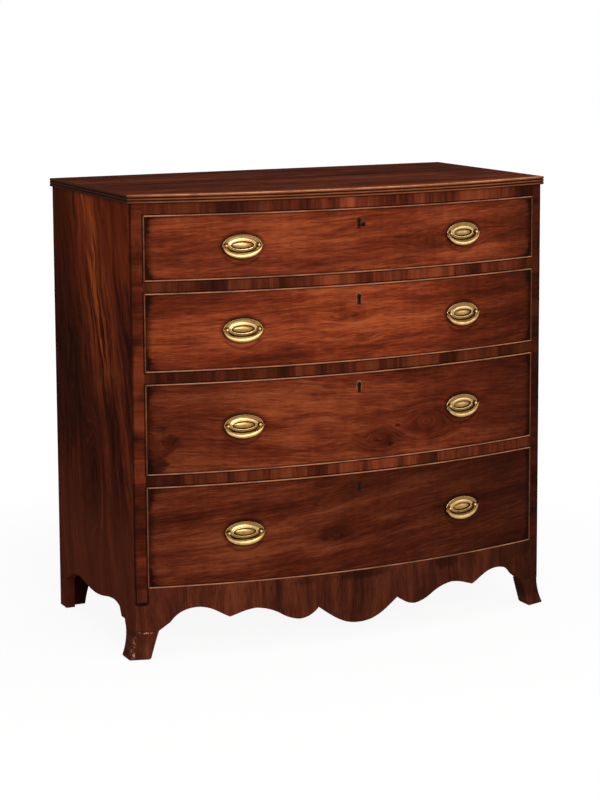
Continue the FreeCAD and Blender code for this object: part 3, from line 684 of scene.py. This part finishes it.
def reedMaterial():
    look = reedLook
    graph, place, color, fibres = grainedWood("reeded_edge", look)
    x, y, z = place
    low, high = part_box("top_board")
    pitch = (high.z - low.z) / topBoard["reeds"]
    groove = graph.smallest(abs(z - (low.z + pitch)), abs(z - (high.z - pitch)))
    groove = graph.smallest(groove, abs(z - low.z))
    patchy = graph.noise(x * 22.0, y * 22.0, 1.0)
    front = graph.ease(y, *look["front"])
    # painted highlights on the reed crests and the upper arris, at the front
    crestHighlight = graph.ease(groove, *look["crestHighlight"]) * (graph.ease(patchy, 0.25, 0.70, 0.35) + 0.25)
    color = graph.mix(crestHighlight * front, color, look["crestHighlightColor"])
    arrisHighlight = graph.ease(z - high.z, *look["arris"]) * (graph.ease(patchy, 0.32, 0.66, 0.55) + 0.30)
    color = graph.mix(arrisHighlight * front, color, look["arrisHighlightColor"])
    # painted shade in the grooves between the reeds
    color = darken(graph, color, graph.ease(groove, *look["groove"]), 0.6)
    color = darken(graph, color, (1 - front) * look["endDark"])
    return finishWood(graph, color, fibres, look["coat"])


def outline(half, front, steps):
    # Left back corner, round the front, to the right back corner
    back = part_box("top_board")[1].y
    reach = bow["radius"] - front
    turn = math.asin(half / reach)
    points = [Vector((-half, back, 0.0))]
    for step in range(steps + 1):
        angle = turn * (2 * step / steps - 1)
        points.append(bow["centre"] + Vector((math.sin(angle) * reach, -math.cos(angle) * reach, 0.0)))
    return points + [Vector((half, back, 0.0))]


def reedSections(points, z, reach, half):
    # A section at each point, turned halfway and stretched as a mitre is
    sections = []
    for i, point in enumerate(points):
        before = points[max(i - 1, 0)]
        after = points[min(i + 1, len(points) - 1)]
        into = (point - before).normalized() if i else (after - point).normalized()
        out = (after - point).normalized() if i < len(points) - 1 else into
        along = (into + out).normalized()
        mitre = 1 / max(into.dot(along), topBoard["sharpestMitre"])
        level = Vector((point.x, point.y, z))
        sections.append(barSection(level, along, reach * mitre, half, along.cross(Vector((0, 0, 1)))))
    return sections


def makeTop():
    low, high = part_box("top_board")
    mesh = bmesh.new()
    pitch = (high.z - low.z) / topBoard["reeds"]
    reach = topBoard["reedDepth"]
    inset = reach - (high.x - bow["half"])
    points = outline(high.x - reach, inset, topBoard["steps"])
    face = mesh.faces.new([mesh.verts.new((point.x, point.y, low.z)) for point in points])
    grown = bmesh.ops.extrude_face_region(mesh, geom=[face])["geom"]
    upper = [part for part in grown if isinstance(part, bmesh.types.BMVert)]
    bmesh.ops.translate(mesh, verts=upper, vec=(0, 0, high.z - low.z))
    for reed in range(topBoard["reeds"]):
        z = low.z + (reed + 0.5) * pitch
        sweep(mesh, reedSections(points, z, reach, pitch / 2), topBoard["reedSides"])
    piece = newPiece("top_with_reeds", mesh, topMaterial(), "carcase", "top_board")
    piece.data.materials.append(reedMaterial())
    edge = high.x - reach - 1e-5
    for polygon in piece.data.polygons:
        x, y = abs(polygon.center.x), polygon.center.y
        outside = x > edge or y < bowY(min(x, edge), inset) - 1e-5
        polygon.material_index = 1 if outside else 0


makeTop()
print("top board made")


# Front feet: the cut feet again, with their arrises and toes worn round

feet = {"arris": 0.0020, "toe": 0.0042, "segments": 3, "merge": 2e-6, "flatDegrees": 1.5, "sharpAngle": 0.9}
footLook = {
    "along": "z", "across": "x", "seed": 47.0, "lines": 90.0, "broad": 22.0,
    "colors": [(0.030, 0.0070, 0.0036), (0.088, 0.0195, 0.0088), (0.170, 0.040, 0.0160)],
    "specks": (0.52, 0.62, 0.75), "speckColor": (0.62, 0.34, 0.24),
    "cornerX": -0.488, "cornerLean": 0.09, "corner": (0.0050, 0.0015),
    "scuff": {"x": -0.462, "z": 0.0560, "wide": (0.018, 0.012), "tall": (0.0022, 0.0008)},
}


def footMaterial():
    look = footLook
    graph, place, color, fibres = grainedWood("foot_mahogany", look)
    x, y, z = place
    speck = graph.ease(graph.noise(x * 240.0, y * 240.0, z * 240.0, 2.0), *look["specks"])
    # Pale specks down the worn left corner, and a short scuff at the top of its face
    corner = graph.ease(abs(x - look["cornerX"] - z * look["cornerLean"]), *look["corner"])
    corner = corner * graph.ease(z, 0.052, 0.040) * graph.ease(y, -0.180, -0.190)
    rubbed = graph.largest(corner, smallMark(graph, place, look["scuff"]))
    color = graph.mix(rubbed * speck, color, look["speckColor"])
    # The right foot is in shade, most of all above its toe
    color = darken(graph, color, graph.ease(x, 0.0, 0.1) * (graph.ease(z, 0.006, 0.030, 0.45) + 0.12))
    return finishWood(graph, color, fibres)


def makeFeet():
    mesh = bmesh.new()
    mesh.from_mesh(nodes["front_feet"].data)
    bmesh.ops.remove_doubles(mesh, verts=mesh.verts, dist=feet["merge"])
    bmesh.ops.dissolve_limit(mesh, angle_limit=math.radians(feet["flatDegrees"]), verts=mesh.verts,
                             edges=mesh.edges, use_dissolve_boundaries=False, delimit=set())
    low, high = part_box("front_feet")
    for onFloor, size in ((True, feet["toe"]), (False, feet["arris"])):
        sharp = [edge for edge in mesh.edges
                 if len(edge.link_faces) == 2 and edge.calc_face_angle() > feet["sharpAngle"]
                 and all(vert.co.z < low.z + mm for vert in edge.verts) == onFloor
                 and not all(vert.co.z > high.z - mm for vert in edge.verts)]
        bevelEdges(mesh, sharp, size, feet["segments"], clamp=True)
    newPiece("worn_front_feet", mesh, footMaterial(), "carcase", "front_feet")


makeFeet()
print("front feet made")


# Cock beads: half-round strips round each drawer front. Their shape is in millimetres.

bead = {"proud": 2.0, "uprightDepth": 8.0, "levelDepth": 22.0, "round": 1.35, "segments": 4, "steps": 48,
        "sharpAngle": 1.0}
beadLook = {
    "along": "x", "across": "z", "seed": 43.0, "lines": 30.0, "broad": 6.0,
    "colors": [(0.040, 0.0100, 0.0048), (0.090, 0.0220, 0.0100), (0.150, 0.040, 0.0170)],
    # painted highlight along the crest, less on the uprights, and painted shade where the bead meets the
    # veneer
    "crestHighlight": (0.0012, 0.0019), "crestHighlightColor": (0.490, 0.200, 0.098), "upright": (0.4515, 0.4525, 0.82),
    "foot": (0.0012, -0.0005), "seamShade": (-0.0040, -0.0020, 0.55), "hidden": 0.30,
    "nick": {"x": 0.004, "z": 0.3845, "wide": (0.011, 0.004), "tall": (0.0035, 0.0015), "strength": 0.85},
    "coat": 0.10,
}


def beadMaterial():
    look = beadLook
    graph, place, color, fibres = grainedWood("cock_bead", look)
    x, y, z = place
    proud = proudOf(graph, place)
    patchy = graph.noise(x * 14.0, 0.0, z * 30.0)
    # painted highlight along the crest, weaker on the uprights
    crestHighlight = graph.ease(proud, *look["crestHighlight"]) * (graph.ease(patchy, 0.30, 0.62, 0.52) + 0.26)
    color = graph.mix(crestHighlight * (1 - graph.ease(abs(x), *look["upright"])), color, look["crestHighlightColor"])
    # painted shade at the seam with the veneer and on the hidden parts behind
    seamShade = graph.ease(proud, *look["foot"]) * (graph.ease(proud, *look["seamShade"]) + look["hidden"])
    color = darken(graph, color, seamShade)
    nick = smallMark(graph, place, look["nick"])
    return finishWood(graph, darken(graph, color, nick * look["nick"]["strength"]), fibres, look["coat"])


def bowStrip(mesh, half, low, high, front, back, steps):
    # A level strip that follows the bow
    front, back = bowY(half, front), bowY(half, back)
    corners = [(front, low), (back, low), (back, high), (front, high)]
    verts = [mesh.verts.new((-half, y, z)) for y, z in corners]
    face = mesh.faces.new(verts)
    turn = 2 * math.asin(half / bow["radius"])
    bmesh.ops.spin(mesh, geom=[face, *face.edges, *verts], cent=bow["centre"], axis=(0, 0, 1), angle=turn,
                   steps=steps, use_merge=False, use_duplicate=False)


def makeBeads(number, material):
    low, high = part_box("drawer_%d_cock_beads" % number)
    frontLow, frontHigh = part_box("drawer_%d_front" % number)
    thick = frontLow.z - low.z
    proud = bead["proud"] * mm
    mesh = bmesh.new()
    for bottom in (low.z, high.z - thick):
        bowStrip(mesh, high.x, bottom, bottom + thick, -proud, bead["levelDepth"] * mm, bead["steps"])
    for side in (-1, 1):
        outer, inner = side * high.x, side * (high.x - thick)
        front = (bowY(outer, -proud) + bowY(inner, -proud)) / 2
        block(mesh, Vector((min(outer, inner), front, frontLow.z)),
              Vector((max(outer, inner), front + bead["uprightDepth"] * mm + proud, frontHigh.z)))
    bmesh.ops.remove_doubles(mesh, verts=mesh.verts, dist=meshLook["merge"])
    arrises = []
    for edge in mesh.edges:
        start, end = edge.verts[0].co, edge.verts[1].co
        middle = (start + end) / 2
        ahead = bowY(min(abs(middle.x), high.x)) - middle.y
        level = abs(start.z - end.z) < meshLook["merge"]
        onStrip = min(abs(middle.z - low.z), abs(middle.z - high.z)) < thick * 1.01
        sharp = len(edge.link_faces) == 2 and edge.calc_face_angle() > bead["sharpAngle"]
        if sharp and ahead > proud / 2 and level == onStrip:
            arrises.append(edge)
    bevelEdges(mesh, arrises, bead["round"] * mm, bead["segments"])
    newPiece("drawer_%d_beading" % number, mesh, material, "drawer_%d" % number,
             "drawer_%d_cock_beads" % number)


beadWood = beadMaterial()
for number in drawerLooks:
    makeBeads(number, beadWood)
print("cock beads made")


# Brass handles, drawn flat with the drawer's face at y = 0 and outward -y, in millimetres.
# Each vertex has a grime-and-shade value, from 0 on rubbed metal, which shows as painted highlight on the
# crests, to 1 in the grooves: tarnish in the hollows together with painted dark reflection and shade.

plate = {
    "steps": 72,
    # distance from the middle, stand-off, grime and painted shade
    "profile": [(0.0, 3.3, 0.25), (7.0, 3.2, 0.25), (14.0, 2.8, 0.30), (19.0, 2.0, 0.5), (21.6, 1.2, 0.9),
                (22.8, 0.8, 1.0), (23.8, 1.1, 1.0), (24.3, 2.8, 0.4), (25.0, 3.5, 0.0), (26.2, 3.6, 0.0),
                (26.9, 3.3, 0.25), (27.5, 3.1, 0.45), (28.8, 3.15, 0.0), (30.4, 2.7, 0.15), (31.6, 2.0, 0.4),
                (32.6, 1.35, 0.80), (34.0, 1.25, 0.50), (37.6, 1.3, 0.40), (39.2, 1.7, 0.6), (40.0, 2.4, 0.1),
                (40.9, 2.55, 0.0), (41.5, 2.1, 0.3), (41.7, 1.3, 0.8), (41.7, 0.15, 1.0), (0.0, 0.15, 1.0)],
    # how tall the plate's ovals are for how wide
    "ovals": [(0.0, 0.0), (22.8, 7.2), (26.9, 9.6), (32.6, 16.4), (41.75, 22.0)],
    # darker round the knobs and under the grip: painted shade, and grime where polish never reaches
    "knobReach": 7.0, "knobGrimeAndShade": 1.4, "gripBand": (26.5, 33.0), "bandShade": 0.35, "otherShade": 0.05,
    "dropReach": 6.0,
}
post = {"spacing": 68.0, "pivot": 6.6, "head": 3.3, "headSteps": 10, "neck": 1.9, "neckEnd": 1.2,
        "shank": 1.8, "shankPast": 0.3, "frontThick": 22.4, "nut": 9.0, "nutThick": 3.5, "steps": 24,
        "grime": 0.06, "nutGrime": 0.6}
grip = {"arm": 40.2, "reach": 21.0, "tip": 1.5, "wide": 6.1, "thick": 2.9, "swellPower": 1.5, "spans": 48,
        "sides": 20, "lean": 0.25, "pin": 1.5, "pinInner": 31.9, "pinOuter": 44.1, "pinRound": 0.5,
        "pinGrime": 0.7,
        # a painted highlight along the middle of the bar, which is also rubbed bright there; dull along its
        # edges and at its ends
        "highlightLine": 1.06, "edgeGrime": 2.8, "highlightWidth": 0.12, "endGrime": 0.5, "leastGrime": 0.05,
        "mostGrime": 0.70}
brassLook = {
    "tones": [(0.0, (0.66, 0.450, 0.210)), (0.35, (0.33, 0.185, 0.060)), (1.0, (0.045, 0.016, 0.0035))],
    "cloud": (0.45, 0.80, 0.18), "roughness": 0.17, "grimeRoughness": 0.22,
}


def brassMaterial():
    graph, place = newMaterial("handle_brass")
    grime = graph.add("ShaderNodeAttribute", {"attribute_name": "grime"}, output="Fac")
    cloud = graph.noise(*[part * 90.0 for part in place])
    amount = graph.smallest(grime + graph.ease(cloud, *brassLook["cloud"]), 1.0)
    color = graph.ramp(amount, *brassLook["tones"])
    roughness = amount * brassLook["grimeRoughness"] + brassLook["roughness"]
    return finishMaterial(graph, {"Base Color": color, "Metallic": 1.0, "Roughness": roughness})


def ovalHeight(wide):
    ovals = plate["ovals"]
    for (w0, h0), (w1, h1) in zip(ovals, ovals[1:]):
        if wide <= w1 + 1e-6:
            return h0 + (h1 - h0) * (wide - w0) / (w1 - w0)
    return ovals[-1][1]


def clamped(value):
    return min(max(value, 0.0), 1.0)


def newVerts(mesh, before):
    return [vert for vert in mesh.verts if vert not in before]


def revolve(mesh, profile, layer, steps):
    # Turns rows of (radius, distance along -y, grime and shade) about the y axis
    before = set(mesh.verts)
    chain = [mesh.verts.new((radius, -out, 0.0)) for radius, out, grime in profile]
    for vert, row in zip(chain, profile):
        vert[layer] = row[2]
    edges = [mesh.edges.new(pair) for pair in zip(chain, chain[1:])]
    bmesh.ops.spin(mesh, geom=chain + edges, cent=(0, 0, 0), axis=(0, 1, 0), angle=math.tau, steps=steps,
                   use_merge=True, use_duplicate=False)
    bmesh.ops.remove_doubles(mesh, verts=newVerts(mesh, before), dist=mm)
    return newVerts(mesh, before)


def makePlate(mesh, place, layer):
    made = revolve(mesh, plate["profile"], layer, plate["steps"])
    bandStart, bandEnd = plate["gripBand"]
    for vert in made:
        wide = math.hypot(vert.co.x, vert.co.z)
        if wide > 0.01:
            vert.co.z *= ovalHeight(wide) / wide
        # grime and painted shade round each knob
        knob = math.hypot(abs(vert.co.x) - post["spacing"] / 2, vert.co.z) / plate["knobReach"]
        # painted shade under the grip, on the lower part of the plate
        under = plate["bandShade"] if bandStart < wide < bandEnd else plate["otherShade"]
        under *= clamped(-vert.co.z / plate["dropReach"])
        vert[layer] = min(vert[layer] + plate["knobGrimeAndShade"] * max(0.0, 1 - knob) + under, 1.0)
    bmesh.ops.transform(mesh, matrix=place, verts=made)


def makePost(mesh, place, layer, side):
    head, pivot = post["head"], post["pivot"]
    profile = [(0.0, pivot + head)]
    for step in range(1, post["headSteps"] - 1):
        angle = math.pi * step / post["headSteps"]
        profile.append((head * math.sin(angle), pivot + head * math.cos(angle)))
    neck, neckEnd, shank = post["neck"], post["neckEnd"], post["shank"]
    back = -(post["frontThick"] + post["nutThick"])
    tip = back - post["shankPast"]
    profile += [(neck, pivot - head), (neck, neckEnd), (shank, neckEnd), (shank, tip), (0.0, tip)]
    made = revolve(mesh, [(*row, post["grime"]) for row in profile], layer, post["steps"])
    half = post["nut"] / 2
    nut = block(mesh, Vector((-half, -back - post["nutThick"], -half)), Vector((half, -back, half)))
    for vert in nut:
        vert[layer] = post["nutGrime"]
    aside = Matrix.Translation((side * post["spacing"] / 2, 0, 0))
    bmesh.ops.transform(mesh, matrix=place @ aside, verts=made + nut)


def gripSection(step):
    angle = math.pi * step / grip["spans"]
    swell = math.sin(angle)
    centre = Vector((grip["arm"] * math.cos(angle), -post["pivot"], -grip["reach"] * swell))
    along = Vector((-grip["arm"] * swell, 0, -grip["reach"] * math.cos(angle)))
    wide = grip["tip"] + (grip["wide"] - grip["tip"]) * swell ** grip["swellPower"]
    thick = grip["tip"] + (grip["thick"] - grip["tip"]) * swell
    inward = Vector((-centre.x, grip["lean"] * swell * grip["reach"], -centre.z))
    return barSection(centre, along, wide, thick, inward)


def makeBail(mesh, place, layer):
    sweep(mesh, [gripSection(step) for step in range(grip["spans"] + 1)], grip["sides"])
    for vert in mesh.verts:
        drop = vert.co.z / grip["reach"]
        # painted highlight along the middle of the bar
        across = abs(math.hypot(vert.co.x / grip["arm"], drop) - grip["highlightLine"])
        edges = max(across * grip["edgeGrime"] - grip["highlightWidth"], 0.0)
        ends = grip["endGrime"] * (1 - clamped(-drop)) ** 2
        vert[layer] = min(edges + ends + grip["leastGrime"], grip["mostGrime"])
    for side in (-1, 1):
        length = grip["pinOuter"] - grip["pinInner"]
        middle = side * (grip["pinOuter"] + grip["pinInner"]) / 2
        turn = Matrix.Translation((middle, -post["pivot"], 0)) @ Matrix.Rotation(math.pi / 2, 4, "Y")
        pin = bmesh.ops.create_cone(mesh, cap_ends=True, segments=grip["sides"], radius1=grip["pin"],
                                    radius2=grip["pin"], depth=length, matrix=turn)["verts"]
        for vert in pin:
            vert[layer] = grip["pinGrime"]
        pinEdges = {edge for vert in pin for edge in vert.link_edges}
        bevelEdges(mesh, [edge for edge in pinEdges if edge.calc_face_angle(0) > 1.0], grip["pinRound"], 2)
    bmesh.ops.transform(mesh, matrix=place, verts=mesh.verts)


def handlePlace(side, height):
    x = side * handleX
    turn = math.asin(x / bow["radius"])
    return Matrix.Translation((x, bowY(x), height)) @ Matrix.Rotation(turn, 4, "Z") @ Matrix.Scale(mm, 4)


def makeHandles(number, brass):
    body = "drawer_%d" % number
    low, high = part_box(body + "_handle_plates")
    plates, posts = bmesh.new(), bmesh.new()
    plateLayer = plates.verts.layers.float.new("grime")
    postLayer = posts.verts.layers.float.new("grime")
    for side, word in ((-1, "left"), (1, "right")):
        place = handlePlace(side, (low.z + high.z) / 2)
        makePlate(plates, place, plateLayer)
        for end in (-1, 1):
            makePost(posts, place, postLayer, end)
        bail = bmesh.new()
        makeBail(bail, place, bail.verts.layers.float.new("grime"))
        node = "%s_%s_bail" % (body, word)
        newPiece("%s_%s_grip" % (body, word), bail, brass, node, node)
    newPiece(body + "_oval_plates", plates, brass, body, body + "_handle_plates")
    newPiece(body + "_knobs", posts, brass, body, body + "_handle_posts")


handleBrass = brassMaterial()
for number in drawerLooks:
    makeHandles(number, handleBrass)
print("handles made")


# Stage: floor, world and lamps

stage = {
    "floor": {"size": 14.0, "height": -0.0005, "color": (0.80, 0.79, 0.78)},
    # the floor's own white: how much close by, how much far off, and between which distances
    "white": {"near": 0.88, "far": 1.0, "from": 0.8, "to": 2.0, "strength": 1.04},
    "sky": 0.42,
}
lamps = {
    "key": {"place": (-0.8, -4.2, 2.2), "aim": (0.0, -0.1, 0.50), "size": (2.4, 2.2), "power": 112.0},
    "fill": {"place": (3.3, -3.4, 1.1), "aim": (0.0, -0.1, 0.6), "size": (1.2, 1.2), "power": 9.5},
    "low": {"place": (0.2, -3.6, 0.7), "aim": (0.0, -0.2, 0.6), "size": (0.9, 0.7), "power": 4.0},
    "above": {"place": (0.2, -0.8, 3.4), "aim": (0.0, 0.0, 0.9), "size": (1.8, 1.8), "power": 22.0},
}


def seenRays(graph):
    # 1 for the camera and for what shows in gloss or glass, 0 for the light on other things
    light = graph.add("ShaderNodeLightPath", output="Is Camera Ray")
    seen = graph.largest(light, light.other("Is Glossy Ray"))
    return graph.largest(seen, light.other("Is Transmission Ray"))


def makeFloor():
    look, white = stage["floor"], stage["white"]
    mesh = bmesh.new()
    bmesh.ops.create_grid(mesh, x_segments=1, y_segments=1, size=look["size"])
    floor = newObject("floor", newData("floor", mesh))
    floor.location.z = look["height"]
    graph, place = newMaterial("floor")
    away = graph.length(place[0], place[1])
    amount = graph.ease(away, white["from"], white["to"], white["far"] - white["near"]) + white["near"]
    diffuse = graph.add("ShaderNodeBsdfDiffuse", {}, {"Color": (*look["color"], 1)})
    plain = graph.add("ShaderNodeEmission", {}, {"Color": (1, 1, 1, 1), "Strength": white["strength"]})
    both = graph.add("ShaderNodeMixShader", {}, {0: seenRays(graph) * amount, 1: diffuse, 2: plain})
    graph.add("ShaderNodeOutputMaterial", {}, {"Surface": both})
    floor.data.materials.append(graph.owner)


def makeWorld():
    world = bpy.data.worlds.new("studio")
    bpy.context.scene.world = world
    graph = Graph(world)
    soft = graph.add("ShaderNodeBackground", {}, {"Color": (1, 1, 1, 1), "Strength": stage["sky"]})
    white = graph.add("ShaderNodeBackground", {}, {"Color": (1, 1, 1, 1), "Strength": 1.0})
    mixed = graph.add("ShaderNodeMixShader", {}, {0: seenRays(graph), 1: soft, 2: white})
    graph.add("ShaderNodeOutputWorld", {}, {"Surface": mixed})


def makeLamp(name, look):
    lamp = bpy.data.lights.new(name, "AREA")
    lamp.shape, lamp.energy = "RECTANGLE", look["power"]
    lamp.size, lamp.size_y = look["size"]
    item = newObject(name, lamp)
    item.location = look["place"]
    item.rotation_euler = (Vector(look["aim"]) - Vector(look["place"])).to_track_quat("-Z", "Y").to_euler()


makeFloor()
makeWorld()
for name, look in lamps.items():
    makeLamp(name, look)
print("stage made")


# Camera

cameraLook = {"place": (-2.0318, -4.2712, 1.3504), "azimuth": -25.336, "elevation": 7.651, "roll": -0.297,
              "focus": 2181.0, "imageHeight": 800.0, "axisHeight": 290.0, "sensor": 36.0, "clip": (0.1, 60.0)}


def makeCamera():
    look = cameraLook
    camera = bpy.data.cameras.new("camera")
    item = newObject("camera", camera)
    turn, rise = math.radians(look["azimuth"]), math.radians(look["elevation"])
    back = Vector((math.sin(turn) * math.cos(rise), -math.cos(turn) * math.cos(rise), math.sin(rise)))
    roll = Matrix.Rotation(math.radians(look["roll"]), 3, "Z")
    item.rotation_euler = ((-back).to_track_quat("-Z", "Y").to_matrix() @ roll).to_euler()
    item.location = look["place"]
    tall = look["imageHeight"]
    camera.sensor_width = look["sensor"]
    camera.lens = look["focus"] * look["sensor"] / tall
    camera.shift_y = (look["axisHeight"] - tall / 2) / tall
    camera.clip_start, camera.clip_end = look["clip"]
    bpy.context.scene.camera = item
    bpy.context.scene.view_settings.view_transform = "Standard"


makeCamera()
print("camera made")
